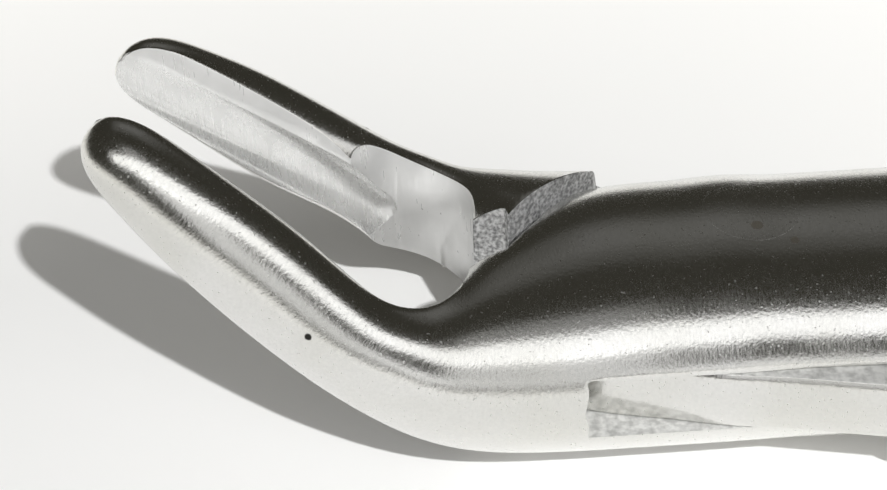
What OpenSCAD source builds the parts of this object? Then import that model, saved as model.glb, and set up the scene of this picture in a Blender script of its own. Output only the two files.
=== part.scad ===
// Dental extraction forceps with a riveted box joint, lying on its side in the opened pose.
// Units are mm. +Z is up from the table and +X runs toward the handle ends.
// The hinge axis is the Z axis, and the two beaks point toward -X and rise from the joint.

/* [Pose] */
// Angle between the two halves in the modelled pose, degrees
opening = 12.6; // [8:0.2:16]

/* [Joint barrel] */
// Width of the joint barrel, across the handles' plane
barrel_w = 13.7; // [12.4:0.1:14.4]
// Height of the joint barrel, along the hinge pin
barrel_h = 10.7; // [9.8:0.1:11.4]
// Radius of the arc that a shoulder slides on
shoulder_r = 8.4; // [7.9:0.1:8.8]
// Distance from the hinge to the inner corner where the shoulders begin
crotch_x = 10.7; // [10.1:0.1:11.3]
// Distance from the hinge to the outer end of the slot
slot_reach = 7.8; // [7.2:0.1:8.4]
// Extra length of the joint on the handle side of the hinge
back_more = 2; // [1:0.25:3]
// Gap between the two inner flats next to the joint when the shoulders are in line
flat_gap = 0.9; // [0.6:0.1:1.4]
// Depth of the ground flat that the joint rests on
rest_cut = 0.12; // [0.08:0.01:0.2]

/* [Tongue and slot] */
// Height of the tongue's middle plane above the barrel's middle
tongue_lift = 0.1; // [0:0.05:0.3]
// Thickness of the tongue
tongue_t = 2.8; // [2.2:0.1:3.6]
// Clearance between the tongue and each face of the slot
slot_clear = 0.08; // [0.05:0.01:0.15]
// Clearance between facing shoulders
shoulder_clear = 0.2; // [0.1:0.05:0.3]
// Depth of the shallow vee in the end wall of the slot
slot_vee = 0.25; // [0:0.05:0.4]

/* [Hinge rivet] */
// Diameter of the rivet shank
pin_d = 4.2; // [3.4:0.1:5]
// Radial running clearance of the tongue on the rivet
pin_clear = 0.05; // [0.02:0.01:0.1]

/* [Beaks] */
// Distance from the hinge to where the beaks start to bend
bend_start = 12; // [10.8:0.1:12.6]
// Radius of the bend along the middle of a beak
bend_r = 9; // [7.5:0.25:10.5]
// Angle of the beaks to the handles
beak_angle = 43; // [38:1:48]
// Straight length of a beak after the bend
beak_len = 13.2; // [11.5:0.1:15.5]
// Breadth of a beak just before the tip
tip_b = 3.7; // [3.2:0.1:4.6]
// Thickness of a beak just before the tip
tip_t = 1.6; // [1.3:0.1:2.2]
// Distance of a beak's inner face from the centre plane where the throat ends
rim_off = 2.3; // [2.1:0.1:2.6]
// Distance by which the tips reach past the centre plane when the shoulders are in line
tip_past = 0.6; // [0.3:0.1:0.7]
// Depth of the hollow in the inner face of a beak, at the throat
scoop_depth = 1.35; // [0.9:0.05:1.5]
// Radius of that hollow
scoop_r = 2.2; // [1.9:0.1:2.4]
// Radius of the round throat beside the joint
throat_r = 3.2; // [2.8:0.1:3.4]
// Lean of the throat's wall below the middle, degrees
throat_lean = 15; // [0:1:18]

/* [Handles] */
// Distance from the hinge to the handle ends
handle_reach = 147; // [125:1:170]
// Largest distance of a handle's middle from the centre plane
handle_bow = 14; // [12:0.5:17]
// Distance of a handle's end from the centre plane
handle_end_off = 9; // [7.5:0.5:12]
// Height of the grip
grip_h = 10.4; // [9.4:0.1:10.6]
// Thickness of the grip
grip_t = 5.6; // [4.6:0.1:6.6]
// Thickness of the neck between the joint and the grip
neck_t = 6; // [5.4:0.1:6.6]

/* [Hidden] */
half_w = barrel_w / 2;
half_h = barrel_h / 2;
flat_y = flat_gap / 2;
pin_r = pin_d / 2;
half_tongue = tongue_t / 2;
half_slot = half_tongue + slot_clear;
// Ends of the joint, on the beak side and on the handle side: radius of the shoulder arc,
// distance from the hinge to the inner corner, distance from the hinge to the slot's end.
front = [shoulder_r, crotch_x, slot_reach];
back = [shoulder_r + 0.7 * back_more, crotch_x + back_more, slot_reach + back_more];
bend_len = bend_r * beak_angle * PI / 180;
spine_len = bend_len + beak_len;
throat_end = 7.3;
bite_len = 10.5;
scoop_start = -1.4;
scoop_len = beak_len + 1.8;
scoop_rise = 15.5;
throat_x = -crotch_x - throat_end;
throat_mid = [-crotch_x - 4.9, -0.57];
throat_turn = 1.1;
heel = [-7.3, 3.4];
beak_side = crotch_x + 2;
far = 40;
tall = 60;
over = 1;
lap = 0.1;
ring_n = 32;
neck_start = 16 + back_more;
neck_end = 50;
grip_z = grip_h / 2 - half_h + rest_cut / 2;

// How the sizes of a beak run along its middle line.
// Each row: share of the way from the bend's start to the tip, place of the outer side,
// place of the section's middle, half breadth, how far the section lies under the middle line,
// half size from the middle to the inner side.
beak_rows = [
    [-0.50, half_w, 0, half_h, 0, half_w],
    [-0.36, half_w, 0, half_h, 0, half_w],
    [-0.22, half_w, 0.1, half_h - 0.18, 0.1, 6.6],
    [-0.10, half_w - 0.08, 1.1, half_h - 0.63, 0.15, 5.5],
    [0.02, half_w - 0.14, 2.4, half_h - 1.21, 0.02, 4],
    [0.15, half_w - 0.3, 3.5, half_h - 2.2, -0.2, 2.4],
    [0.25, half_w - 0.55, 4.15, half_h - 2.74, -0.5, 1.75],
    [0.35, half_w - 0.9, 3.95, half_h - 2.95, -0.34, 1.55],
    [0.55, half_w - 2.05, 2.8, half_h - 2.87, -0.2, 1.8],
    [0.75, half_w - 3.2, 1.85, tip_b / 2 + 0.37, -0.16, 1.85],
    [0.90, tip_t + 0.92, 0.8, tip_b / 2 - 0.05, -0.1, 1.7],
    [1.00, tip_t + 0.1, 0.2, tip_b / 2 - 0.3, 0, 1.5]
];
// Share of the full section that is left on the last rings, which round the tip.
tip_round = [[0.86, 1], [0.90, 0.985], [0.94, 0.92], [0.97, 0.79], [0.99, 0.57], [1.0, 0.28]];

// Each row: distance from the hinge, place of the middle, half thickness, half height,
// squareness, height of the middle.
handle_rows = [
    [-2, 0, half_w, half_h, 2, 0],
    [7 + back_more, 0, half_w, half_h, 2, 0],
    [11 + back_more, 0.5, half_w - 0.5, half_h - 0.1, 2, 0],
    [17 + back_more, 2.5, half_w - 2.2, half_h - 0.6, 2, -0.1],
    [24 + back_more, 4.5, neck_t / 2 + 0.2, half_h - 1.1, 2.1, -0.2],
    [34 + back_more, 7.2, neck_t / 2 - 0.1, half_h - 1.3, 2.3, -0.4],
    [neck_end, 11, grip_t / 2, grip_h / 2 - 0.5, 2.6, grip_z - 0.3],
    [72, handle_bow, grip_t / 2, grip_h / 2, 2.8, grip_z],
    [handle_reach - 45, handle_bow - 0.6, grip_t / 2, grip_h / 2, 2.8, grip_z],
    [handle_reach - 18, handle_end_off + 1, grip_t / 2 - 0.1, grip_h / 2 - 0.1, 2.8, grip_z],
    [handle_reach - 4, handle_end_off, grip_t / 2 - 0.3, grip_h / 2 - 0.7, 2.6, grip_z],
    [handle_reach, handle_end_off, grip_t / 2 - 0.5, grip_h / 2 - 1.1, 2.5, grip_z]
];
handle_round = [[-4, 1], [-3, 0.985], [-2, 0.92], [-1, 0.76], [-0.4, 0.55], [0, 0.3]];

// Smooth curve through the rows of a table, at place t, for column c.
function row_at(rows, t, i = 0) = i + 2 >= len(rows) || t < rows[i + 1][0] ? i : row_at(rows, t, i + 1);
function slope_at(rows, i, c) = i <= 0 || i >= len(rows) - 1
    ? 0
    : (rows[i + 1][c] - rows[i - 1][c]) / (rows[i + 1][0] - rows[i - 1][0]);
function end_slope(rows, i, c) = i == 0
    ? slope_at(rows, 1, c)
    : i == len(rows) - 1
        ? (rows[i][c] - rows[i - 1][c]) / (rows[i][0] - rows[i - 1][0])
        : slope_at(rows, i, c);
function curve(rows, t, c) =
    let (i = row_at(rows, t), a = rows[i], b = rows[i + 1], w = b[0] - a[0], u = (t - a[0]) / w)
    let (u2 = u * u, u3 = u2 * u)
    a[c] * (2 * u3 - 3 * u2 + 1) + end_slope(rows, i, c) * w * (u3 - 2 * u2 + u)
    + b[c] * (3 * u2 - 2 * u3) + end_slope(rows, i + 1, c) * w * (u3 - u2);

// One ring of points: oval around the middle m, of half size a toward +Y, a_back toward -Y and
// b upward and downward, in the plane that is turned by the angle lean at the place x, z.
function ring(x, z, lean, m, a, a_back, b, q) = [
    for (k = [0 : ring_n - 1])
        let (g = 360 * k / ring_n, cg = cos(g), sg = sin(g), ay = cg > 0 ? a : a_back)
        let (y = m + ay * sign(cg) * pow(abs(cg), 2 / q), n = b * sign(sg) * pow(abs(sg), 2 / q))
        [x + n * sin(lean), y, z + n * cos(lean)]
];

// Middle line of a beak: straight, then an arc, then straight to the tip.
function spine_angle(s) = s <= 0 ? 0 : s >= bend_len ? beak_angle : s / bend_len * beak_angle;
function spine_x(s) = s <= 0
    ? -bend_start - s
    : s >= bend_len
        ? -bend_start - bend_r * sin(beak_angle) - (s - bend_len) * cos(beak_angle)
        : -bend_start - bend_r * sin(spine_angle(s));
function spine_z(s) = s <= 0
    ? 0
    : s >= bend_len
        ? bend_r * (1 - cos(beak_angle)) + (s - bend_len) * sin(beak_angle)
        : bend_r * (1 - cos(spine_angle(s)));

// Ring of the beak at share t of its middle line. The outer side is at -Y.
function beak_ring(t) =
    let (s = t * spine_len, k = t < tip_round[0][0] ? 1 : lookup(t, tip_round))
    let (out = curve(beak_rows, t, 1), mid = curve(beak_rows, t, 2), b = curve(beak_rows, t, 3))
    let (drop = curve(beak_rows, t, 4), inner = curve(beak_rows, t, 5), turn = spine_angle(s))
    let (keep = 0.35 + 0.65 * k)
    ring(
        spine_x(s) - drop * sin(turn), spine_z(s) - drop * cos(turn), turn,
        -mid, inner * keep, (out - mid) * keep, b * k, 2
    );

function handle_ring(x, k = 1) =
    let (a = curve(handle_rows, x, 2) * (0.4 + 0.6 * k))
    ring(
        x, curve(handle_rows, x, 5), 0, curve(handle_rows, x, 1), a, a,
        curve(handle_rows, x, 3) * k, curve(handle_rows, x, 4)
    );

function beak_stops() = concat(
    [1, 0.99, 0.97, 0.94, 0.90, 0.86],
    [for (i = [1 : 16]) 0.86 - i * 0.86 / 16],
    [-0.06, -0.12, -0.2, -0.28, -0.36]
);

function handle_stops() = concat(
    [2, 7 + back_more, 8.5 + back_more, 10 + back_more, 11.5 + back_more, 13.5 + back_more],
    [for (i = [0 : 9]) neck_start + i * (neck_end - neck_start) / 9],
    [for (i = [1 : 11]) neck_end + i * (handle_reach - 6 - neck_end) / 11]
);

function half_rings() = concat(
    [for (t = beak_stops()) beak_ring(t)],
    [for (x = handle_stops()) handle_ring(x)],
    [for (r = handle_round) handle_ring(handle_reach + r[0], r[1])]
);

// Solid through a row of rings.
module loft(rings) {
    n = len(rings[0]);
    last = len(rings) - 1;
    points = [for (r = rings) each r];
    sides = [
        for (i = [0 : last - 1])
            for (k = [0 : n - 1])
                let (a = i * n + k, b = i * n + (k + 1) % n, c = a + n, d = b + n)
                each [[a, d, b], [a, c, d]]
    ];
    caps = [[for (k = [0 : n - 1]) k], [for (k = [n - 1 : -1 : 0]) last * n + k]];
    polyhedron(points = points, faces = concat(sides, caps));
}

// Whole outside of one half before any cutting: beak at -Y, handle at +Y.
module half_blank() loft(half_rings());

module slab(points, z0, z1) translate([0, 0, z0]) linear_extrude(height = z1 - z0) polygon(points);

// Everything behind the shoulder line at one end of the joint, on the side of the other half,
// seen from above: a straight line that runs from the inner corner to the shoulder arc, and then
// the arc itself. The line is moved outward by grow.
module beyond_shoulder(end, grow, z0, z1, reach) {
    r = end[0] + grow;
    touch = 180 + atan2(flat_y, end[1]) - acos(end[0] / norm([end[1], flat_y]));
    tx = r * cos(touch);
    ty = r * sin(touch);
    corner = tx + (ty + flat_y) * tan(touch);
    difference() {
        slab([[corner, -flat_y], [tx, ty], [0, ty], [0, far], [-reach, far], [-reach, -flat_y]], z0, z1);
        translate([0, 0, z0 - over]) cylinder(h = z1 - z0 + 2 * over, r = r, $fn = 96);
    }
}

module half_turn() rotate([0, 0, 180]) children();

// Everything outside the plan of one half between the beak and the handle.
module box_cutter() {
    beyond_shoulder(front, 0, -tall, tall, beak_side);
    half_turn() beyond_shoulder(back, 0, -tall, tall, far);
}

function slot_out_y() = half_w * sqrt(1 - pow(half_tongue / half_h, 2));

// Plan line of the slot's wall at one end of the joint.
function slot_side(end) = [[-end[1], -flat_y], [-end[2], -slot_out_y()], [-end[2], -far]];

// Run of that wall, and its nearest distance from the hinge.
function slot_run(end) = [end[1] - end[2], flat_y - slot_out_y()];
function slot_wall_reach(end) =
    let (run = slot_run(end))
    (end[1] * -run[1] + flat_y * run[0]) / norm(run);

// Slot for the tongue.
module slot_cutter() {
    back_side = [for (p = slot_side(back)) -p];
    slab(
        concat(slot_side(front), [[far, -far], [far, flat_y]], back_side, [[-far, far], [-far, -flat_y]]),
        tongue_lift - half_slot, tongue_lift + half_slot
    );
    slot_vee_cut(front);
    half_turn() slot_vee_cut(back);
}

// Shallow vee along one end wall of the slot.
module slot_vee_cut(end) {
    run = slot_run(end);
    translate([-end[1], -flat_y, tongue_lift])
        rotate([90, 0, atan2(run[1], run[0]) + 90])
            translate([0, 0, -over])
                linear_extrude(height = norm(run) + 3 * over)
                    polygon([[lap, -half_slot], [lap, half_slot], [-slot_vee, 0]]);
}

// Round throat of one half, open toward the other half as far as the place reach.
// The inner side is at +Y.
module throat(reach, z0, z1) {
    right = throat_mid[0] + throat_r;
    translate([throat_mid[0], throat_mid[1], z0]) cylinder(h = z1 - z0, r = throat_r, $fn = 96);
    slab(
        [[right, throat_mid[1]], [throat_x, throat_mid[1]], [throat_x, reach], [right, reach]],
        z0, z1
    );
}

// Space between the beaks: the throat, whose wall leans outward below the middle, and the gap
// that gets narrower from the throat to the tips.
module inner_cut() {
    throat(far, -tall, tall);
    translate([0, 0, throat_turn]) rotate([-throat_lean, 0, 0]) throat(half_w, -tall, 0);
    slab(
        [
            [throat_x + lap, -rim_off], [throat_x, -rim_off], [throat_x - bite_len, tip_past],
            [-far, tip_past], [-far, far], [throat_x + lap, far]
        ],
        -tall, tall
    );
}

// Hollow along the inner face of a beak: a round-ended trough that gets shallower to the tip.
module scoop() {
    from = bend_len + scoop_start;
    translate([spine_x(from), scoop_r - scoop_depth - rim_off, spine_z(from)])
        rotate([0, beak_angle - 90, 0])
            rotate([-scoop_rise, 0, 0]) {
                cylinder(h = scoop_len, r = scoop_r, $fn = 64);
                sphere(r = scoop_r, $fn = 64);
            }
}

module half_cuts() {
    inner_cut();
    scoop();
}

// Flat that is ground along the underside of the joint and the grips.
module rest_cutter() {
    translate([-far, -far, -half_h - over]) cube([far + handle_reach + over, 2 * far, over + rest_cut]);
}

module bore(r) {
    translate([0, 0, -half_h - over]) cylinder(h = barrel_h + 2 * over, r = r, $fn = 64);
}

module female_half() {
    difference() {
        half_blank();
        box_cutter();
        slot_cutter();
        half_cuts();
        bore(pin_r);
        rest_cutter();
    }
}

// Space that the walls of the box fill above and below the tongue, and the outer end of the
// shoulder, which is squared off beside the beak.
module wall_space(z0, z1) {
    end = back[1] + over;
    difference() {
        slab([[-end, -far], [end, -far], [end, far], [-end, far]], z0, z1);
        beyond_shoulder(front, shoulder_clear, z0 - over, z1 + over, far);
        half_turn() beyond_shoulder(back, shoulder_clear, z0 - over, z1 + over, far);
    }
    slab([heel, [0, heel[1]], [0, far], [heel[0], far]], z0, z1);
}

// Space that the solid end of the box fills at one end of the tongue, and the corner of the
// tongue that would run into the slot's end wall when the halves turn.
module end_space(end, reach) {
    s = end[2] - shoulder_clear;
    y = slot_out_y();
    c = s + (end[1] - end[2]) * (y + flat_y) / (y - flat_y);
    slab([[-c, flat_y], [-s, -y], [-s, -far], [-reach, -far], [-reach, flat_y]], -tall, tall);
    difference() {
        slab([[-far, -half_w / 2], [0, -half_w / 2], [0, -far], [-far, -far]], -tall, tall);
        translate([0, 0, -tall - over])
            cylinder(h = 2 * (tall + over), r = slot_wall_reach(end) - shoulder_clear, $fn = 96);
    }
}

module male_half() {
    difference() {
        mirror([0, 1, 0]) half_blank();
        wall_space(tongue_lift + half_tongue, tall);
        wall_space(-tall, tongue_lift - half_tongue);
        end_space(front, beak_side);
        half_turn() end_space(back, far);
        mirror([0, 1, 0]) half_cuts();
        bore(pin_r + pin_clear);
        rest_cutter();
    }
}

// Rivet with both ends dressed flush with the barrel.
module hinge_pin() {
    intersection() {
        translate([0, 0, -half_h + rest_cut]) cylinder(h = barrel_h, r = pin_r, $fn = 64);
        rotate([0, 90, 0])
            scale([1, barrel_w / barrel_h, 1])
                cylinder(h = 4 * pin_r, r = half_h, center = true, $fn = 128);
    }
}

module in_place(turn) translate([0, 0, half_h - rest_cut]) rotate([0, 0, turn]) children();

color([0.72, 0.73, 0.74]) in_place(opening / 2) female_half();
color([0.66, 0.67, 0.69]) in_place(-opening / 2) male_half();
color([0.8, 0.8, 0.81]) in_place(opening / 2) hinge_pin();
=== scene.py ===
"""Dental extraction forceps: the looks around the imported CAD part.

Shapes are worked out in millimetres in each half's own frame (hinge on Z, barrel middle at z = 0,
beak toward -X at -Y, handle toward +X at +Y), then turned into place and scaled to metres.
"""

import math

import bmesh
import bpy
import numpy as np
from mathutils import Matrix, Vector
from mathutils.bvhtree import BVHTree


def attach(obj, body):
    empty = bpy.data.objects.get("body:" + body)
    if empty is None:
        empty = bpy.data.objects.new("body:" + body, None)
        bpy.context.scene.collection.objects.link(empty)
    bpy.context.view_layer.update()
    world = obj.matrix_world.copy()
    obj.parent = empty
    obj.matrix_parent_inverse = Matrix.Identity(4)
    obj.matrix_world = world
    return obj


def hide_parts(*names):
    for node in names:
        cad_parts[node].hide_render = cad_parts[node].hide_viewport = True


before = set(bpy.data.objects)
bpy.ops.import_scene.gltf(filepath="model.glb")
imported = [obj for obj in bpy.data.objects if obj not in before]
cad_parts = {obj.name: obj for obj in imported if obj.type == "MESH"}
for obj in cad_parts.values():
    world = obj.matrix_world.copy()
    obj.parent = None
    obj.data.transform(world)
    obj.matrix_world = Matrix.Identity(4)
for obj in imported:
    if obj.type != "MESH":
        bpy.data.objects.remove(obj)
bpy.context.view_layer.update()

MM = 0.001             # metres in a millimetre
CM = 10                # millimetres in one unit of the UV map

# Driving sizes (mm, degrees), the same as in the CAD part, apart from SLOT_CLEAR and SCOOP_R,
# which are 0.08 and 2.2 there
OPENING = 12.6         # angle between the halves at rest
BARREL_W, BARREL_H = 13.7, 10.7
SHOULDER_R = 8.4       # arc that a shoulder slides on
CROTCH_X = 10.7        # hinge to the inner corner where the front shoulders begin
SLOT_REACH = 7.8       # hinge to the slot's front end
BACK_MORE = 2.0        # extra length of the joint on the handle side
BACK_ARC_SHARE = 0.7   # share of that by which the back shoulder's arc grows
FLAT_GAP = 0.9
REST_CUT = 0.12        # depth of the flat that the forceps rests on
TONGUE_LIFT = 0.1
TONGUE_T = 2.8
SLOT_CLEAR = 0.1
SHOULDER_CLEAR = 0.2
SLOT_VEE = 0.25
PIN_D, PIN_CLEAR = 4.2, 0.05
BEND_START, BEND_R, BEAK_ANGLE, BEAK_LEN = 12.0, 9.0, 43.0, 13.2
TIP_B, TIP_T = 3.7, 1.6
RIM_OFF, TIP_PAST = 2.3, 0.6        # inner face of a beak to the centre plane, at its two ends
THROAT_R, THROAT_OFF, THROAT_MID = 3.2, 0.57, 4.9
THROAT_LEAN, THROAT_TURN = 15.0, 1.1     # lean of the throat's lower wall, and its pivot's height
THROAT_END, BITE_LEN = 7.3, 10.5
SCOOP_R, SCOOP_DEPTH, SCOOP_START, SCOOP_RISE = 2.3, 1.35, -1.4, 15.5
SCOOP_OVER = 1.8       # length of the trough's cutter past the straight part of the beak
HEEL_X, HEEL_Y = 7.3, 3.4   # corner where the shoulder of the tongue half is squared off
HANDLE_REACH, HANDLE_BOW, HANDLE_END_OFF = 147.0, 14.0, 9.0
GRIP_H, GRIP_T, NECK_T, NECK_END = 10.4, 5.6, 6.0, 50.0

HALF_W, HALF_H = BARREL_W / 2, BARREL_H / 2
FLAT_Y = FLAT_GAP / 2
SLOT_HALF = TONGUE_T / 2 + SLOT_CLEAR
SLOT_OUT_Y = HALF_W * math.sqrt(1 - (TONGUE_T / 2 / HALF_H) ** 2)    # barrel's side at the tongue
BEND_LEN = BEND_R * math.radians(BEAK_ANGLE)
SPINE_LEN = BEND_LEN + BEAK_LEN
THROAT_X = -CROTCH_X - THROAT_MID
BITE_X = -CROTCH_X - THROAT_END
BEAK_SIDE = CROTCH_X + 2    # how far the front shoulders' cutters reach toward the beak
GRIP_Z = GRIP_H / 2 - HALF_H + REST_CUT / 2
# Ends of the joint, beak side and handle side: shoulder's arc, inner corner, slot's end
FRONT = (SHOULDER_R, CROTCH_X, SLOT_REACH)
BACK = (SHOULDER_R + BACK_ARC_SHARE * BACK_MORE, CROTCH_X + BACK_MORE, SLOT_REACH + BACK_MORE)

# How far cutters reach: past the plan, past the height, past a face, and into a neighbour
FAR, TALL, OVER, LAP = 40.0, 60.0, 1.0, 0.1
SIDE_FLIP = Matrix.Scale(-1, 4, Vector((0, 1, 0)))

# Rings along the body (counts), and the blur of their sizes along it (mm)
RING_N = 96            # points round the body
OVAL_N = 1440          # points of the oval on which a ring's points are spread
TIP_RINGS, HEAD_RINGS, NECK_RINGS, AFTER_RINGS, END_RINGS = 18, 170, 60, 18, 14
SECTION_N = 2400       # sections that are blurred
BLUR_HEAD, BLUR_HANDLE, LEAST_BLUR = 1.1, 5.0, 0.001
BLUR_FROM = 30         # distance behind the bend where the wider blur begins to set in
LEAST_HALF = 0.01      # least half size of a ring
ROUND_N, THROAT_N, SCOOP_N, SCOOP_RINGS = 128, 160, 96, 17     # sides of round cutters

# Rounding of the beak's tip (share of its length) and of the handle's end (mm): thickness that
# is kept, and powers of the outline
TIP_SHARE, TIP_KEEP, TIP_POWERS = 0.14, 0.35, (3, 0.4)
END_LEN, END_KEEP, END_POWERS = 4, 0.4, (2.4, 0.45)
NOSE_POWER = 10

# Cross-cut pattern of the grips
KNURL_STEP = 0.29      # ring spacing
KNURL_DEPTH = 0.17
KNURL_FROM, KNURL_TO = 60.0, 131.0
KNURL_HALF = 14        # ring points on each side of the grip's outer middle line
KNURL_PITCH = 4        # rings, and ring points, from one groove to the next
KNURL_MARGIN = 2       # rings left plain at both ends

# Edges (mm, degrees)
EDGE_R = 0.05          # bevel of the cut edges
EDGE_GAP = 0.11        # points closer than this on a cut edge are joined before the bevel
EDGE_END = KNURL_FROM - 1    # edges beyond this distance from the hinge stay as they are
BEVEL_REACH = 1.4 * EDGE_R   # a bevel's point farther than this from the old skin goes back to it
SLIVER = 0.003         # edges and faces thinner than this are dissolved
WELD_ROUNDS = 2
BORE_NEAR = 0.03       # an edge this near the slotted half's bore belongs to its mouth
RIVET_GAP = 0.004      # keeps the rivet's skin apart from the bore's
SHARP_ANGLE = math.radians(33)     # edges above it are bevelled
SMOOTH_ANGLE = math.radians(32)    # edges above it are shaded sharp

# share of the way to the tip, outer side, middle, half breadth, drop below the middle line,
# half size on the inner side
BEAK_ROWS = np.array([
    [-0.50, HALF_W, 0, HALF_H, 0, HALF_W],
    [-0.36, HALF_W, 0, HALF_H, 0, HALF_W],
    [-0.22, HALF_W, 0.1, HALF_H - 0.18, 0.1, 6.6],
    [-0.10, HALF_W - 0.08, 1.1, HALF_H - 0.63, 0.15, 5.5],
    [0.02, HALF_W - 0.14, 2.4, HALF_H - 1.21, 0.02, 4],
    [0.15, HALF_W - 0.3, 3.5, HALF_H - 2.2, -0.2, 2.4],
    [0.25, HALF_W - 0.55, 4.15, HALF_H - 2.74, -0.5, 1.75],
    [0.35, HALF_W - 0.9, 3.95, HALF_H - 2.95, -0.34, 1.55],
    [0.55, HALF_W - 2.05, 2.8, HALF_H - 2.87, -0.2, 1.8],
    [0.75, HALF_W - 3.2, 1.85, TIP_B / 2 + 0.37, -0.16, 1.85],
    [0.90, TIP_T + 0.92, 0.8, TIP_B / 2 - 0.05, -0.1, 1.7],
    [1.00, TIP_T + 0.1, 0.2, TIP_B / 2 - 0.3, 0, 1.5],
])
# distance from the hinge, middle, half thickness, half height, squareness, height of the middle
HANDLE_ROWS = np.array([
    [-2, 0, HALF_W, HALF_H, 2, 0],
    [7 + BACK_MORE, 0, HALF_W, HALF_H, 2, 0],
    [11 + BACK_MORE, 0.5, HALF_W - 0.5, HALF_H - 0.1, 2, 0],
    [17 + BACK_MORE, 2.5, HALF_W - 2.2, HALF_H - 0.6, 2, -0.1],
    [24 + BACK_MORE, 4.5, NECK_T / 2 + 0.2, HALF_H - 1.1, 2.1, -0.2],
    [34 + BACK_MORE, 7.2, NECK_T / 2 - 0.1, HALF_H - 1.3, 2.3, -0.4],
    [NECK_END, 11, GRIP_T / 2, GRIP_H / 2 - 0.5, 2.6, GRIP_Z - 0.3],
    [72, HANDLE_BOW, GRIP_T / 2, GRIP_H / 2, 2.8, GRIP_Z],
    [HANDLE_REACH - 45, HANDLE_BOW - 0.6, GRIP_T / 2, GRIP_H / 2, 2.8, GRIP_Z],
    [HANDLE_REACH - 18, HANDLE_END_OFF + 1, GRIP_T / 2 - 0.1, GRIP_H / 2 - 0.1, 2.8, GRIP_Z],
    [HANDLE_REACH - 4, HANDLE_END_OFF, GRIP_T / 2 - 0.3, GRIP_H / 2 - 0.7, 2.6, GRIP_Z],
    [HANDLE_REACH, HANDLE_END_OFF, GRIP_T / 2 - 0.5, GRIP_H / 2 - 1.1, 2.5, GRIP_Z],
])

# Textures. Scales are per metre, except for the streaks, which follow the UV map.
UV_NAME = "along"
NOISE_RANGE = (0.3, 0.7)        # where most values of a noise lie
STREAKS = (110, 22, 1)          # brush streaks: along the body, round it
FINE_GRAIN, BROAD_CLOUDS = 7000, 170
SPECK_GRAIN, SPECK_SHIFT, SPECK_RANGE = 6800, (3, 1, 2), (0.7, 0.76)
CLOUD_RANGE = (0.35, 0.65)
STREAK_ROUGH, CLOUD_ROUGH, SPECK_ROUGH, STAIN_ROUGH, PIT_ROUGH = 0.1, 0.06, 0.22, 0.12, 0.4
STREAK_RISE, FINE_RISE, SPECK_RISE, PIT_RISE = 0.4, 0.75, 0.3, -4
SATIN_DEPTH = 0.008             # bump (mm)
SATIN_LIGHT, SATIN_DARK = (0.83, 0.825, 0.81), (0.76, 0.755, 0.72)
STAIN_TINT, STAIN_SHARE = (0.62, 0.5, 0.36), 0.4
GRAIN_TINT, GRAIN_SHARE = (0.6, 0.6, 0.58), 0.25
PIT_TINT = (0.05, 0.05, 0.045)
GRIND_LINES, GRIND_CLOUDS = (7000, 7000, 500), 420
GROUND_LIGHT, GROUND_DARK = (0.84, 0.84, 0.83), (0.72, 0.72, 0.71)
FROST_SPOTS, FROST_SPOT_SHARE = (0.36, 0.64), 0.75
FROST_COARSER, FROST_SHIFT, FROST_COARSE_SHARE = 6, (5, 2, 1), 0.25
FROST_ROUGHER, FROST_SMOOTHER = 0.1, 0.08
SPOT_CORE = 0.7                 # share of a spot's radius that has its full strength
# Pits and faint stains on the outside: middle (mm, rest frame) and radius
PITS = [((-18.61, -7.53, 9.35), 0.17), ((-17.4, 6.21, 10.89), 0.14)]
STAINS = [((0.17, -1.22, 10.57), 0.3), ((1.72, -1.97, 10.32), 0.22)]

# Floor (m): its glow is what the camera and reflections see besides its lit colour
FLOOR_SIZE, FLOOR_COLOUR = 12, (0.78, 0.78, 0.775, 1)
GLOW_TINT = (1.0, 0.98, 0.92, 1)
GLOW_MIDDLE, GLOW_REACH, GLOW_STRENGTH = (-0.02, -0.02, 0), (0.033, 0.083), (0.1, 0.44)
ROOM_COLOUR, ROOM_STRENGTH = (0.036, 0.034, 0.027, 1), 1.0

# Area lamps. Each: name, azimuth and elevation (degrees), distance, width, height (m), power (W)
KEY = ("key", 24, 46, 0.15, 0.003, 0.003, 10.6)
KEY_TARGET = (-0.01, 0, 0.005)
PANELS = [
    ("panel", 10, 45, 0.9, 1.5, 0.36, 2.2),
    ("panel_fringe", -1, 65, 0.9, 0.24, 0.24, 0.042),
    ("far_panel", 176, 54, 0.9, 0.75, 0.6, 0.07),
    ("far_panel_middle", 176, 52, 0.85, 0.4, 0.3, 0.018),
    ("front_panel", 2, 21, 0.88, 0.36, 0.5, 0.4),
    ("low_card", 42, 8, 1.0, 1.1, 0.26, 0.8),
]
PANEL_TARGET = (0, 0, 0.005)

# Camera: fitted to the photograph. Angles in degrees, lengths in mm, image places in pixels.
VIEW_TURN, VIEW_DOWN, VIEW_ROLL = -5.096, 35.88, -2.839
VIEW_DISTANCE, VIEW_SCALE = 75.0, 22.0
HINGE_PX, HINGE_PY = 742.558, 303.592
IMAGE_W, IMAGE_H = 887, 490
AIM_Z = HALF_H - REST_CUT + TONGUE_LIFT
SENSOR, CLIP_START = 36.0, 0.005


def curve(rows, t, c):
    """Smooth curve through column c of a table, at place t."""
    x, y = rows[:, 0], rows[:, c]
    slope = np.empty(len(x))
    slope[1:-1] = (y[2:] - y[:-2]) / (x[2:] - x[:-2])
    slope[0] = slope[1]
    slope[-1] = (y[-1] - y[-2]) / (x[-1] - x[-2])
    i = min(max(int(np.searchsorted(x, t, side="right")) - 1, 0), len(x) - 2)
    w = x[i + 1] - x[i]
    u = (t - x[i]) / w
    return (
        y[i] * (2 * u**3 - 3 * u**2 + 1) + slope[i] * w * (u**3 - 2 * u**2 + u)
        + y[i + 1] * (3 * u**2 - 2 * u**3) + slope[i + 1] * w * (u**3 - u**2)
    )


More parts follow.
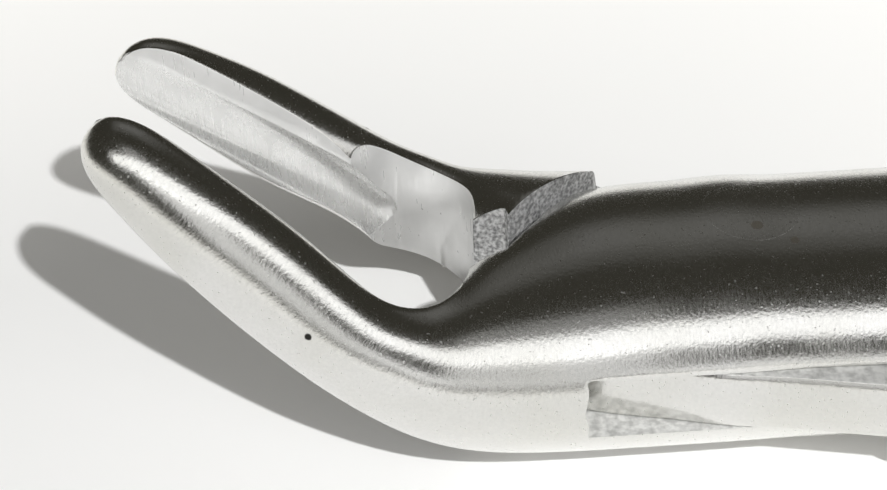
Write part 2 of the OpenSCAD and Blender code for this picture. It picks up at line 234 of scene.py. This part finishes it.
def ring(x, z, lean, m, a, b, q, inner):
    """Oval of half sizes a, inner (on the inner side) and b, with its points spread evenly."""
    g = np.linspace(0, 2 * math.pi, OVAL_N, endpoint=False)
    cg, sg = np.cos(g), np.sin(g)
    y = np.where(cg > 0, inner, a) * np.sign(cg) * np.abs(cg) ** (2 / q)
    n = b * np.sign(sg) * np.abs(sg) ** (2 / q)
    step = np.hypot(np.diff(y, append=y[0]), np.diff(n, append=n[0]))
    run = np.concatenate([[0], np.cumsum(step)])
    at = np.linspace(0, run[-1], RING_N, endpoint=False)
    y = np.interp(at, run, np.append(y, y[0]))
    n = np.interp(at, run, np.append(n, n[0]))
    s, c = math.sin(lean), math.cos(lean)
    return np.stack([x + n * s, m + y, z + n * c], axis=1)


def spine(s):
    """Place and lean of the middle line at the length s from the bend's start, toward the tip."""
    angle = math.radians(BEAK_ANGLE)
    if s <= 0:
        return -BEND_START - s, 0.0, 0.0
    if s < BEND_LEN:
        a = s / BEND_LEN * angle
        return -BEND_START - BEND_R * math.sin(a), BEND_R * (1 - math.cos(a)), a
    on = s - BEND_LEN
    x = -BEND_START - BEND_R * math.sin(angle) - on * math.cos(angle)
    z = BEND_R * (1 - math.cos(angle)) + on * math.sin(angle)
    return x, z, angle


def station(s):
    """Section at the length s: x, z, lean, middle, outer half size, half breadth, squareness, inner
    half size. The handle's table holds from the hinge on, where s is below -BEND_START."""
    x, z, lean = spine(s)
    if x < 0:
        out, mid, b, drop, inner = (curve(BEAK_ROWS, s / SPINE_LEN, c) for c in (1, 2, 3, 4, 5))
        x, z = x - drop * math.sin(lean), z - drop * math.cos(lean)
        return x, z, lean, -mid, out - mid, b, 2, inner
    mid, a, b, q, z = (curve(HANDLE_ROWS, x, c) for c in (1, 2, 3, 4, 5))
    return x, z, 0, mid, a, b, q, a


def smooth_stations(run):
    """Sections at the lengths in run, blurred along the body so that reflections flow evenly.
    The blur narrows to nothing at both ends."""
    fine = np.linspace(run[0], run[-1], SECTION_N)
    table = np.array([station(s) for s in fine])
    width = np.interp(fine, [-NECK_END, -BLUR_FROM], [BLUR_HANDLE, BLUR_HEAD])
    to_end = np.minimum(np.abs(fine - run[0]), np.abs(fine - run[-1]))
    width = np.minimum(width, to_end / 3 + LEAST_BLUR)
    weight = np.exp(-0.5 * ((fine[:, None] - fine[None, :]) / width[:, None]) ** 2)
    table = weight @ table / weight.sum(axis=1, keepdims=True)
    return np.column_stack([np.interp(run, fine, column) for column in table.T])


def rounding(run):
    """Shares of the thickness and of the breadth that are left at the lengths in run, where the
    beak's tip and the handle's end close."""
    tip = np.clip((run / SPINE_LEN - (1 - TIP_SHARE)) / TIP_SHARE, 0, 1)
    end = np.clip(1 - (run + BEND_START + HANDLE_REACH) / END_LEN, 0, 1)
    at_tip = (1 - tip ** TIP_POWERS[0]) ** TIP_POWERS[1]
    at_end = (1 - end ** END_POWERS[0]) ** END_POWERS[1]
    breadth = np.where(tip > 0, at_tip, at_end)
    keep = np.where(tip > 0, TIP_KEEP, END_KEEP)
    nose = np.sqrt(1 - np.maximum(tip, end) ** NOSE_POWER)
    return (keep + (1 - keep) * breadth) * nose, breadth


def half_blank(mirror):
    """Outside of one half before any cutting, with its cross-cut grip."""
    handle_end = -BEND_START - HANDLE_REACH
    tip = SPINE_LEN * (1 - TIP_SHARE * np.linspace(0, 1, TIP_RINGS) ** 2)
    head = np.linspace(1 - TIP_SHARE, -1.0, HEAD_RINGS)[1:] * SPINE_LEN
    knurl = -BEND_START - np.arange(KNURL_FROM, KNURL_TO, KNURL_STEP)
    neck = np.linspace(head[-1], knurl[0] + KNURL_STEP, NECK_RINGS)[1:]
    after = np.linspace(knurl[-1] - KNURL_STEP, handle_end + END_LEN, AFTER_RINGS)
    end = handle_end + END_LEN - END_LEN * np.sin(np.linspace(0, math.pi / 2, END_RINGS)[1:])
    run = np.concatenate([tip, head, neck, knurl, after, end])
    sections = smooth_stations(run[::-1])[::-1]
    least = LEAST_HALF
    rings = np.array([
        ring(x, z, lean, m, max(a * fa, least), max(b * fb, least), q, max(inner * fa, least))
        for (x, z, lean, m, a, b, q, inner), fa, fb in zip(sections, *rounding(run))
    ])
    lowered = cut_knurl(rings, len(tip) + len(head) + len(neck), len(knurl))
    n, last = RING_N, len(rings) - 1
    verts = rings.reshape(-1, 3).tolist() + [rings[i].mean(axis=0).tolist() for i in (0, last)]
    faces = []
    for i in range(last):
        for k in range(n):
            k1 = (k + 1) % n
            corners = [(i, k), (i, k1), (i + 1, k1), (i + 1, k)]
            ids = [row * n + col for row, col in corners]
            faces += skin_faces(ids, [c in lowered for c in corners])
    a, b = len(verts) - 2, len(verts) - 1
    faces += [(k, (k + 1) % n, a) for k in range(n)]
    faces += [(last * n + (k + 1) % n, last * n + k, b) for k in range(n)]
    blank = solid("blank", verts, faces, steel)
    follow_body(blank, run, rings)
    return moved(blank, SIDE_FLIP) if mirror else blank


def skin_faces(ids, low):
    """Face between four ring points, or two triangles folded along the groove at lowered ones."""
    if not any(low):
        return [tuple(reversed(ids))]
    if (low[0] and low[2]) or (sum(low) == 1 and (low[1] or low[3])):
        return [(ids[2], ids[1], ids[0]), (ids[3], ids[2], ids[0])]
    return [(ids[3], ids[1], ids[0]), (ids[3], ids[2], ids[1])]


def cut_knurl(rings, first, count):
    """Lowers the grooves of the cross-cut grip and returns the lowered points."""
    lowered = set()
    for i in range(KNURL_MARGIN, count - KNURL_MARGIN):
        for j in range(-KNURL_HALF, KNURL_HALF + 1):
            if (i + j) % KNURL_PITCH == 0 or (i - j) % KNURL_PITCH == 0:
                rings[first + i, j % RING_N, 1] -= KNURL_DEPTH
                lowered.add((first + i, j % RING_N))
    return lowered


def follow_body(obj, run, rings):
    """UV map in centimetres: along the body, and round it."""
    n = RING_N
    girth = np.linalg.norm(np.roll(rings, -1, axis=1) - rings, axis=2).sum(axis=1)
    layer = obj.data.uv_layers.new(name=UV_NAME)
    uv = np.zeros((len(obj.data.loops), 2))
    for face in obj.data.polygons:
        ids = [obj.data.loops[i].vertex_index for i in face.loop_indices]
        cols = [v % n for v in ids]
        wrap = max(cols) - min(cols) > n / 2
        for i, v in zip(face.loop_indices, ids):
            row, col = min(v // n, len(rings) - 1), v % n
            if wrap and col < n / 2:
                col += n
            uv[i] = run[row] / CM, girth[row] * col / n / CM
    layer.data.foreach_set("uv", uv.ravel())


def solid(name, verts, faces, material):
    mesh = bpy.data.meshes.new(name)
    mesh.from_pydata(verts, [], faces)
    mesh.materials.append(material)
    mesh.update()
    obj = bpy.data.objects.new(name, mesh)
    bpy.context.scene.collection.objects.link(obj)
    return obj


def prism(points, z0, z1, material):
    """Upright prism on a plan outline, whichever way round the outline runs."""
    area = sum(p[0] * q[1] - q[0] * p[1] for p, q in zip(points, points[1:] + points[:1]))
    if area < 0:
        points = points[::-1]
    n = len(points)
    verts = [(x, y, z0) for x, y in points] + [(x, y, z1) for x, y in points]
    faces = [tuple(range(n))[::-1], tuple(range(n, 2 * n))]
    faces += [(i, (i + 1) % n, (i + 1) % n + n, i + n) for i in range(n)]
    return solid("cutter", verts, faces, material)


def circle(r, n):
    turns = [2 * math.pi * i / n for i in range(n)]
    return [(r * math.cos(a), r * math.sin(a)) for a in turns]


def cylinder(r, z0, z1, material, n=ROUND_N):
    return prism(circle(r, n), z0, z1, material)


def moved(obj, matrix):
    obj.data.transform(matrix)
    if matrix.determinant() < 0:
        obj.data.flip_normals()
    return obj


def half_turn(obj):
    return moved(obj, Matrix.Rotation(math.pi, 4, "Z"))


def combine(obj, other, operation="DIFFERENCE"):
    """Cuts other out of obj, or joins or intersects the two, and removes other."""
    m = obj.modifiers.new("cut", "BOOLEAN")
    m.object = other
    m.operation = operation
    m.solver = "MANIFOLD"
    m.material_mode = "TRANSFER"
    graph = bpy.context.evaluated_depsgraph_get()
    mesh = bpy.data.meshes.new_from_object(obj.evaluated_get(graph), depsgraph=graph)
    obj.modifiers.clear()
    old = obj.data
    obj.data = mesh
    bpy.data.meshes.remove(old)
    bpy.data.objects.remove(other)
    return obj


def beyond_shoulder(end, grow, z0, z1, reach, material):
    """Everything behind the shoulder line: a straight line from the inner corner, then an arc."""
    arc, corner_x, _ = end
    r = arc + grow
    touch = math.pi + math.atan2(FLAT_Y, corner_x) - math.acos(arc / math.hypot(corner_x, FLAT_Y))
    tx, ty = r * math.cos(touch), r * math.sin(touch)
    start = tx + (ty + FLAT_Y) * math.tan(touch)
    outline = [(start, -FLAT_Y), (tx, ty), (0, ty), (0, FAR), (-reach, FAR), (-reach, -FLAT_Y)]
    block = prism(outline, z0, z1, material)
    return combine(block, cylinder(r, z0 - OVER, z1 + OVER, material))


def slot_side(end):
    """Plan of the slot's end wall, from its inner corner outward."""
    _, corner_x, slot_x = end
    return [(-corner_x, -FLAT_Y), (-slot_x, -SLOT_OUT_Y), (-slot_x, -FAR)]


def slot_vee_cut(end):
    """Shallow vee along one end wall of the slot."""
    _, corner_x, slot_x = end
    rx, ry = corner_x - slot_x, FLAT_Y - SLOT_OUT_Y
    outline = [(LAP, -SLOT_HALF), (LAP, SLOT_HALF), (-SLOT_VEE, 0)]
    vee = prism(outline, -OVER, math.hypot(rx, ry) + 2 * OVER, slot_steel)
    turn = Matrix.Rotation(math.atan2(ry, rx) + math.pi / 2, 4, "Z")
    moved(vee, turn @ Matrix.Rotation(math.pi / 2, 4, "X"))
    return moved(vee, Matrix.Translation((-corner_x, -FLAT_Y, TONGUE_LIFT)))


def throat(reach, z0, z1):
    """Round throat beside the joint, open toward the other half."""
    hole = cylinder(THROAT_R, z0, z1, ground, THROAT_N)
    moved(hole, Matrix.Translation((THROAT_X, -THROAT_OFF, 0)))
    near_x = THROAT_X + THROAT_R
    outline = [(near_x, -THROAT_OFF), (BITE_X, -THROAT_OFF), (BITE_X, reach), (near_x, reach)]
    return combine(hole, prism(outline, z0, z1, ground), "UNION")


def inner_cuts():
    """Inner side of a beak: the throat, its leaning lower wall, the ground bite and the trough."""
    pivot = Matrix.Translation((0, 0, THROAT_TURN))
    lean = Matrix.Rotation(-math.radians(THROAT_LEAN), 4, "X")
    lower = moved(throat(HALF_W, -TALL, 0), pivot @ lean)
    bite = prism(
        [(BITE_X + LAP, -RIM_OFF), (BITE_X, -RIM_OFF), (BITE_X - BITE_LEN, TIP_PAST),
         (-FAR, TIP_PAST), (-FAR, FAR), (BITE_X + LAP, FAR)], -TALL, TALL, ground,
    )
    return [throat(FAR, -TALL, TALL), lower, bite, scoop()]


def scoop():
    """Round-ended trough along the inner face of a beak, shallower to the tip."""
    round_end = np.linspace(-math.pi / 2, 0, SCOOP_RINGS)[1:]
    profile = [(SCOOP_R * math.cos(a), SCOOP_R * math.sin(a)) for a in round_end]
    profile.append((SCOOP_R, BEAK_LEN + SCOOP_OVER))
    n = SCOOP_N
    verts = [(0, 0, -SCOOP_R)] + [(x, y, z) for r, z in profile for x, y in circle(r, n)]
    faces = [(0, 1 + (k + 1) % n, 1 + k) for k in range(n)]
    for i in range(len(profile) - 1):
        low = 1 + i * n
        high = low + n
        faces += [(low + k, low + (k + 1) % n, high + (k + 1) % n, high + k) for k in range(n)]
    top = 1 + (len(profile) - 1) * n
    faces.append(tuple(top + k for k in range(n)))
    cut = solid("scoop", verts, faces, hollow)
    x, z, _ = spine(BEND_LEN + SCOOP_START)
    lean = Matrix.Rotation(math.radians(BEAK_ANGLE - 90), 4, "Y")
    rise = Matrix.Rotation(-math.radians(SCOOP_RISE), 4, "X")
    return moved(cut, Matrix.Translation((x, SCOOP_R - SCOOP_DEPTH - RIM_OFF, z)) @ (lean @ rise))


def rest_cutter():
    """Everything below the flat that the forceps rests on."""
    right = HANDLE_REACH + OVER
    outline = [(-FAR, -FAR), (right, -FAR), (right, FAR), (-FAR, FAR)]
    return prism(outline, -HALF_H - OVER, -HALF_H + REST_CUT, steel)


def bore(r):
    return cylinder(r, -HALF_H - OVER, HALF_H + OVER, slot_steel)


def wall_space(z0, z1):
    """Space that a wall of the box fills, above or below the tongue."""
    end = BACK[1] + OVER
    low, high = z0 - OVER, z1 + OVER
    block = prism([(-end, -FAR), (end, -FAR), (end, FAR), (-end, FAR)], z0, z1, slot_steel)
    combine(block, beyond_shoulder(FRONT, SHOULDER_CLEAR, low, high, FAR, frosted))
    combine(block, half_turn(beyond_shoulder(BACK, SHOULDER_CLEAR, low, high, FAR, frosted)))
    heel = prism([(-HEEL_X, HEEL_Y), (0, HEEL_Y), (0, FAR), (-HEEL_X, FAR)], z0, z1, frosted)
    return combine(block, heel, "UNION")


def end_spaces(end, reach):
    """Space of the box's solid end, and the corner of the tongue that would run into it."""
    _, corner_x, slot_x = end
    s, y = slot_x - SHOULDER_CLEAR, SLOT_OUT_Y
    c = s + (corner_x - slot_x) * (y + FLAT_Y) / (y - FLAT_Y)
    outline = [(-c, FLAT_Y), (-s, -y), (-s, -FAR), (-reach, -FAR), (-reach, FLAT_Y)]
    solid_end = prism(outline, -TALL, TALL, frosted)
    rx, ry = corner_x - slot_x, FLAT_Y - y
    wall = (corner_x * -ry + FLAT_Y * rx) / math.hypot(rx, ry)
    side = -HALF_W / 2
    corner = prism([(-FAR, side), (0, side), (0, -FAR), (-FAR, -FAR)], -TALL, TALL, slot_steel)
    combine(corner, cylinder(wall - SHOULDER_CLEAR, -TALL - OVER, TALL + OVER, slot_steel))
    return [solid_end, corner]


def female_half():
    """The slotted half, whose walls pass above and below the tongue."""
    back_side = [(-x, -y) for x, y in slot_side(BACK)]
    slot = [*slot_side(FRONT), (FAR, -FAR), (FAR, FLAT_Y), *back_side, (-FAR, FAR), (-FAR, -FLAT_Y)]
    return finish_half(half_blank(False), [
        beyond_shoulder(FRONT, 0, -TALL, TALL, BEAK_SIDE, frosted),
        half_turn(beyond_shoulder(BACK, 0, -TALL, TALL, FAR, frosted)),
        prism(slot, TONGUE_LIFT - SLOT_HALF, TONGUE_LIFT + SLOT_HALF, slot_steel),
        slot_vee_cut(FRONT), half_turn(slot_vee_cut(BACK)),
        *inner_cuts(), bore(PIN_D / 2),
    ])


def male_half():
    """The half with the tongue."""
    return finish_half(half_blank(True), [
        wall_space(TONGUE_LIFT + TONGUE_T / 2, TALL), wall_space(-TALL, TONGUE_LIFT - TONGUE_T / 2),
        *end_spaces(FRONT, BEAK_SIDE), *[half_turn(c) for c in end_spaces(BACK, FAR)],
        *[moved(c, SIDE_FLIP) for c in inner_cuts()], bore(PIN_D / 2 + PIN_CLEAR),
    ])


def finish_half(obj, cuts):
    for cut in cuts:
        combine(obj, cut)
    return soften(combine(obj, rest_cutter()))


def rivet():
    """Rivet with its ends dressed flush with the slotted half."""
    obj = half_blank(False)
    obj.data.materials[0] = rivet_steel
    combine(obj, bore(PIN_D / 2 - RIVET_GAP), "INTERSECT")
    return combine(obj, rest_cutter())


def is_sharp(edge):
    """True for an edge that gets rounded; the bore's mouth stays closed round the rivet."""
    if len(edge.link_faces) != 2 or edge.calc_face_angle(0) < SHARP_ANGLE:
        return False
    return not all(abs(math.hypot(*v.co.xy) - PIN_D / 2) < BORE_NEAR for v in edge.verts)


def weld_edges(bm):
    """Joins points that lie close together on the cut edges, in the same order on each run."""
    bm.verts.index_update()
    sharp = {v for e in bm.edges if is_sharp(e) and e.verts[0].co.x < EDGE_END for v in e.verts}
    weld, kept = {}, set()
    for v in sorted(sharp, key=lambda v: v.index):
        if v in weld:
            continue
        for e in v.link_edges:
            w = e.other_vert(v)
            if w not in weld and w not in kept and e.calc_length() < EDGE_GAP:
                weld[w] = v
                kept.add(v)
    bmesh.ops.weld_verts(bm, targetmap=weld)


def soften(obj):
    """Rounds the edges that the cuts have left, by a small real bevel."""
    bm = bmesh.new()
    bm.from_mesh(obj.data)
    for _ in range(WELD_ROUNDS):
        weld_edges(bm)
    bmesh.ops.dissolve_degenerate(bm, dist=SLIVER, edges=bm.edges[:])
    bmesh.ops.delete(bm, geom=[e for e in bm.edges if not e.link_faces], context="EDGES")
    before = BVHTree.FromBMesh(bm)
    edges = [e for e in bm.edges if is_sharp(e) and max(v.co.x for v in e.verts) < EDGE_END]
    bmesh.ops.bevel(
        bm, geom=edges, offset=EDGE_R, offset_type="OFFSET", segments=2, profile=0.5,
        affect="EDGES", clamp_overlap=False, loop_slide=True, material=-1,
    )
    for v in bm.verts:
        spot, _, _, off = before.find_nearest(v.co)
        if off > BEVEL_REACH:
            v.co = spot
    bm.to_mesh(obj.data)
    bm.free()
    return obj


def add(mat, kind, inputs, out=0, **settings):
    """Adds a node and gives one of its outputs; an input is a plain value or a node's output."""
    made = mat.node_tree.nodes.new(kind)
    for key, value in settings.items():
        setattr(made, key, value)
    for socket, value in inputs.items():
        if isinstance(value, bpy.types.NodeSocket):
            mat.node_tree.links.new(value, made.inputs[socket])
        else:
            made.inputs[socket].default_value = value
    return made.outputs[out]


def noise(mat, where, scale, detail, stretch=(1, 1, 1), shift=(0, 0, 0)):
    spot = add(mat, "ShaderNodeMapping", {"Vector": where, "Location": shift, "Scale": stretch})
    return add(mat, "ShaderNodeTexNoise", {"Vector": spot, "Scale": scale, "Detail": detail})


def distance_from(mat, where, middle):
    ends = {0: where, 1: middle}
    return add(mat, "ShaderNodeVectorMath", ends, out="Value", operation="DISTANCE")


def span(mat, value, low, high, to_low, to_high):
    """The value with the range from low to high moved to another, and held there outside it."""
    return add(mat, "ShaderNodeMapRange", {0: value, 1: low, 2: high, 3: to_low, 4: to_high})


def spread(mat, value, low, high):
    """A noise whose usual range is moved to run from low to high."""
    return span(mat, value, *NOISE_RANGE, low, high)


def share(mat, value, most):
    """A value from 0 to 1, scaled to run from 0 to most."""
    return span(mat, value, 0, 1, 0, most)


def total(mat, *values):
    result = values[0]
    for value in values[1:]:
        result = add(mat, "ShaderNodeMath", {0: result, 1: value}, operation="ADD")
    return result


def blend(mat, factor, a, b):
    """Mix of two colours, each a plain one or a node's output."""
    made = mat.node_tree.nodes.new("ShaderNodeMix")
    made.data_type = "RGBA"
    mat.node_tree.links.new(factor, made.inputs["Factor"])
    for socket, value in (("A", a), ("B", b)):
        colour = [c for c in made.inputs if c.name == socket and c.type == "RGBA"][0]
        if isinstance(value, bpy.types.NodeSocket):
            mat.node_tree.links.new(value, colour)
        else:
            colour.default_value = (*value, 1)
    return [c for c in made.outputs if c.type == "RGBA"][0]


def near(mat, where, centre, radius):
    """1 round a point (mm in the rest frame), falling to 0 at the radius."""
    away = distance_from(mat, where, [c * MM for c in centre])
    return span(mat, away, radius * SPOT_CORE * MM, radius * MM, 1, 0)


def new_metal(name, metallic=1):
    mat = bpy.data.materials.new(name)
    mat.use_nodes = True
    shader = mat.node_tree.nodes["Principled BSDF"]
    shader.inputs["Metallic"].default_value = metallic
    where = mat.node_tree.nodes.new("ShaderNodeTexCoord").outputs["Object"]
    return mat, shader, where


def finish_metal(mat, shader, colour, rough, height, depth):
    """Joins the textures to the shader; depth is the bump's, in mm."""
    links = mat.node_tree.links
    links.new(colour, shader.inputs["Base Color"])
    links.new(rough, shader.inputs["Roughness"])
    bump = add(mat, "ShaderNodeBump", {"Strength": 1.0, "Distance": depth * MM, "Height": height})
    links.new(bump, shader.inputs["Normal"])
    return mat


def satin_steel(name, smooth):
    """Satin outside: brush streaks round the body, fine grain, specks, stains and two pits."""
    mat, shader, where = new_metal(name)
    along = add(mat, "ShaderNodeUVMap", {}, uv_map=UV_NAME)
    streak = noise(mat, along, 1.0, 3, stretch=STREAKS)
    fine = noise(mat, where, FINE_GRAIN, 2)
    clouds = noise(mat, where, BROAD_CLOUDS, 3)
    speck = span(mat, noise(mat, where, SPECK_GRAIN, 1, shift=SPECK_SHIFT), *SPECK_RANGE, 0, 1)
    pits = total(mat, *[near(mat, where, *spot) for spot in PITS])
    stains = total(mat, *[near(mat, where, *spot) for spot in STAINS])
    rough = total(
        mat, spread(mat, streak, smooth, smooth + STREAK_ROUGH),
        spread(mat, clouds, 0, CLOUD_ROUGH), share(mat, speck, SPECK_ROUGH),
        share(mat, stains, STAIN_ROUGH), share(mat, pits, PIT_ROUGH),
    )
    tint = blend(mat, span(mat, clouds, *CLOUD_RANGE, 0, 1), SATIN_LIGHT, SATIN_DARK)
    worn = blend(mat, share(mat, stains, STAIN_SHARE), tint, STAIN_TINT)
    grain = blend(mat, spread(mat, fine, 0, GRAIN_SHARE), worn, GRAIN_TINT)
    colour = blend(mat, pits, grain, PIT_TINT)
    height = total(
        mat, share(mat, streak, STREAK_RISE), share(mat, fine, FINE_RISE),
        share(mat, speck, SPECK_RISE), share(mat, pits, PIT_RISE),
    )
    return finish_metal(mat, shader, colour, rough, height, SATIN_DEPTH)


def ground_steel(name, rough, depth, metallic):
    """Ground inner faces: soft upright grinding lines, slightly mottled."""
    mat, shader, where = new_metal(name, metallic)
    lines = noise(mat, where, 1.0, 3, stretch=GRIND_LINES)
    clouds = noise(mat, where, GRIND_CLOUDS, 3)
    roughness = total(mat, spread(mat, lines, *rough), spread(mat, clouds, 0, CLOUD_ROUGH))
    colour = blend(mat, spread(mat, clouds, 0, 1), GROUND_LIGHT, GROUND_DARK)
    return finish_metal(mat, shader, colour, roughness, total(mat, lines, clouds), depth)


def frosted_steel(name, dark, light, grain, rough, depth, metallic):
    """Blasted faces: crystalline light and dark grain."""
    mat, shader, where = new_metal(name, metallic)
    spots = noise(mat, where, grain, 2)
    coarse = noise(mat, where, grain / FROST_COARSER, 2, shift=FROST_SHIFT)
    lightness = total(
        mat, span(mat, spots, *FROST_SPOTS, 0, FROST_SPOT_SHARE),
        span(mat, coarse, *CLOUD_RANGE, 0, FROST_COARSE_SHARE),
    )
    colour = blend(mat, lightness, dark, light)
    roughness = spread(mat, spots, rough + FROST_ROUGHER, rough - FROST_SMOOTHER)
    return finish_metal(mat, shader, colour, roughness, spots, depth)


steel = satin_steel("steel_satin", smooth=0.13)
rivet_steel = satin_steel("rivet_steel_satin", smooth=0.16)
ground = ground_steel("steel_ground", rough=(0.24, 0.36), depth=0.002, metallic=0.6)
hollow = ground_steel("steel_hollow_ground", rough=(0.2, 0.3), depth=0.0009, metallic=0.8)
frosted = frosted_steel(
    "steel_frosted", dark=(0.22, 0.22, 0.22), light=(0.86, 0.86, 0.86), grain=5200, rough=0.5,
    depth=0.03, metallic=0.7,
)
slot_steel = frosted_steel(
    "steel_slot", dark=(0.52, 0.52, 0.505), light=(0.88, 0.88, 0.86), grain=2600, rough=0.5,
    depth=0.012, metallic=0.45,
)


def place(obj, name, turn, body, node):
    m = Matrix.Translation((0, 0, HALF_H - REST_CUT)) @ Matrix.Rotation(math.radians(turn), 4, "Z")
    obj.data.transform(Matrix.Scale(MM, 4) @ m)
    obj.name = obj.data.name = name
    obj.data.shade_smooth()
    obj.data.set_sharp_from_angle(angle=SMOOTH_ANGLE)
    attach(obj, body)
    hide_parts(node)


place(female_half(), "slotted_half_body", OPENING / 2, "slotted_half", "female_half")
place(male_half(), "tongue_half_body", -OPENING / 2, "tongue_half", "male_half")
place(rivet(), "hinge_rivet", OPENING / 2, "slotted_half", "hinge_pin")


def pale_floor():
    """Plain pale floor that keeps the object's shadow. Its glow is seen only by the camera and in
    reflections, and is stronger away from the object."""
    bpy.ops.mesh.primitive_plane_add(size=FLOOR_SIZE, location=(0, 0, 0))
    floor = bpy.context.object
    floor.name = "floor"
    mat = bpy.data.materials.new("floor_white")
    mat.use_nodes = True
    nodes = mat.node_tree.nodes
    nodes.clear()
    where = nodes.new("ShaderNodeTexCoord").outputs["Object"]
    path = nodes.new("ShaderNodeLightPath").outputs
    farther = span(mat, distance_from(mat, where, GLOW_MIDDLE), *GLOW_REACH, *GLOW_STRENGTH)
    rays = {0: path["Is Camera Ray"], 1: path["Is Glossy Ray"]}
    seen = add(mat, "ShaderNodeMath", rays, operation="MAXIMUM")
    strength = add(mat, "ShaderNodeMath", {0: seen, 1: farther}, operation="MULTIPLY")
    glow = add(mat, "ShaderNodeEmission", {"Color": GLOW_TINT, "Strength": strength})
    paint = add(mat, "ShaderNodeBsdfDiffuse", {"Color": FLOOR_COLOUR})
    both = add(mat, "ShaderNodeAddShader", {0: paint, 1: glow})
    mat.node_tree.links.new(both, nodes.new("ShaderNodeOutputMaterial").inputs["Surface"])
    floor.data.materials.append(mat)


def lamp(name, azimuth, elevation, distance, width, height, power, target=PANEL_TARGET):
    """Area lamp seen from the target at an azimuth (0 is -Y, 90 is +X) and an elevation."""
    data = bpy.data.lights.new(name, "AREA")
    data.shape = "RECTANGLE"
    data.size, data.size_y = width, height
    data.energy = power
    obj = bpy.data.objects.new(name, data)
    bpy.context.scene.collection.objects.link(obj)
    a, e = math.radians(azimuth), math.radians(elevation)
    toward = Vector((math.sin(a) * math.cos(e), -math.cos(a) * math.cos(e), math.sin(e)))
    obj.location = Vector(target) + distance * toward
    obj.rotation_euler = (Vector(target) - obj.location).to_track_quat("-Z", "Y").to_euler()
    return obj


def studio():
    """Small close key lamp for the shadow, equally bright at any distance and not mirrored; soft
    panels for the highlights; and a dim room."""
    key = lamp(*KEY, target=KEY_TARGET)
    key.visible_glossy = key.visible_camera = False
    key.data.use_nodes = True
    tree = key.data.node_tree
    even = tree.nodes.new("ShaderNodeLightFalloff")
    even.inputs["Strength"].default_value = 1
    tree.links.new(even.outputs["Constant"], tree.nodes["Emission"].inputs["Strength"])
    for panel in PANELS:
        lamp(*panel)
    world = bpy.data.worlds.new("room")
    bpy.context.scene.world = world
    world.use_nodes = True
    room = world.node_tree.nodes["Background"].inputs
    room["Color"].default_value = ROOM_COLOUR
    room["Strength"].default_value = ROOM_STRENGTH


def photo_camera():
    """Camera at the photograph's viewing angle, with the hinge at its place in the image."""
    a, e, r = (math.radians(v) for v in (VIEW_TURN, VIEW_DOWN, VIEW_ROLL))
    forward = Vector((math.sin(a) * math.cos(e), math.cos(a) * math.cos(e), -math.sin(e)))
    level = Vector((math.cos(a), -math.sin(a), 0))
    above = level.cross(forward)
    right = math.cos(r) * level + math.sin(r) * above
    up = -math.sin(r) * level + math.cos(r) * above
    across = (HINGE_PX - IMAGE_W / 2) / VIEW_SCALE
    down = (HINGE_PY - IMAGE_H / 2) / VIEW_SCALE
    place_mm = Vector((0, 0, AIM_Z)) - across * right + down * up - VIEW_DISTANCE * forward
    data = bpy.data.cameras.new("camera")
    data.sensor_width = SENSOR
    data.lens = SENSOR * VIEW_SCALE * VIEW_DISTANCE / IMAGE_W
    data.clip_start = CLIP_START
    camera = bpy.data.objects.new("camera", data)
    bpy.context.scene.collection.objects.link(camera)
    turn = Matrix((right, up, -forward)).transposed().to_4x4()
    camera.matrix_world = Matrix.Translation(place_mm * MM) @ turn
    bpy.context.scene.camera = camera


pale_floor()
studio()
photo_camera()
bpy.context.scene.view_settings.view_transform = "Standard"
